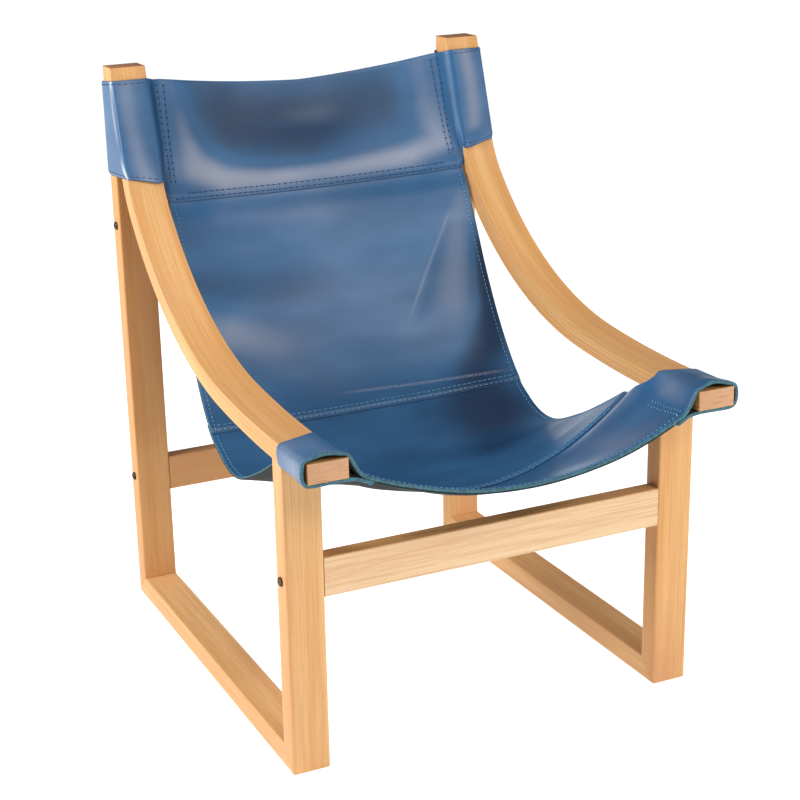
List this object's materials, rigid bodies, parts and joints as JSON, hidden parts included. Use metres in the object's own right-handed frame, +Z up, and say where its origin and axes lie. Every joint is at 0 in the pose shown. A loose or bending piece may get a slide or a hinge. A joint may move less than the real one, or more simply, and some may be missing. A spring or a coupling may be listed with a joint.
{
  "type": "leather sling lounge chair",
  "caption": "Low lounge chair with a blue leather sling seat and back hung between curved rails of a light wood frame with square legs and floor rails.",
  "frame": {"origin": "Middle of the chair's outline on the floor, at the underside of the floor rails.", "axes": "+Z up, +X to the left hand of a sitter (the right of a viewer who faces the chair), -Y the way the chair faces."},
  "size_m": [0.6296, 0.7666, 0.865],
  "materials": {
    "wood": "pale beech or ash, clear satin oil finish",
    "leather": "blue pull-up leather with soft broad sheen, lighter where it is worn",
    "lining": "dark grey suede, matt",
    "bolt_metal": "dark bronzed steel, semi-gloss"
  },
  "bodies": {
    "root": {"left_front_leg": "wood", "left_rear_leg": "wood", "left_floor_rail": "wood", "left_sling_rail": "wood", "right_front_leg": "wood", "right_rear_leg": "wood", "right_floor_rail": "wood", "right_sling_rail": "wood", "front_stretcher": "wood", "lower_back_stretcher": "wood", "upper_back_stretcher": "wood", "left_front_bolt": "bolt_metal", "left_front_barrel_nut": "bolt_metal", "right_front_bolt": "bolt_metal", "right_front_barrel_nut": "bolt_metal", "left_lower_back_bolt": "bolt_metal", "left_lower_back_barrel_nut": "bolt_metal", "right_lower_back_bolt": "bolt_metal", "right_lower_back_barrel_nut": "bolt_metal", "left_upper_back_bolt": "bolt_metal", "left_upper_back_barrel_nut": "bolt_metal", "right_upper_back_bolt": "bolt_metal", "right_upper_back_barrel_nut": "bolt_metal", "head_band": "leather", "back_panel": "leather", "seat_panel": "leather", "front_band": "leather", "back_lining": "lining", "seat_lining": "lining", "front_lining": "lining"}
  },
  "joints": []
}
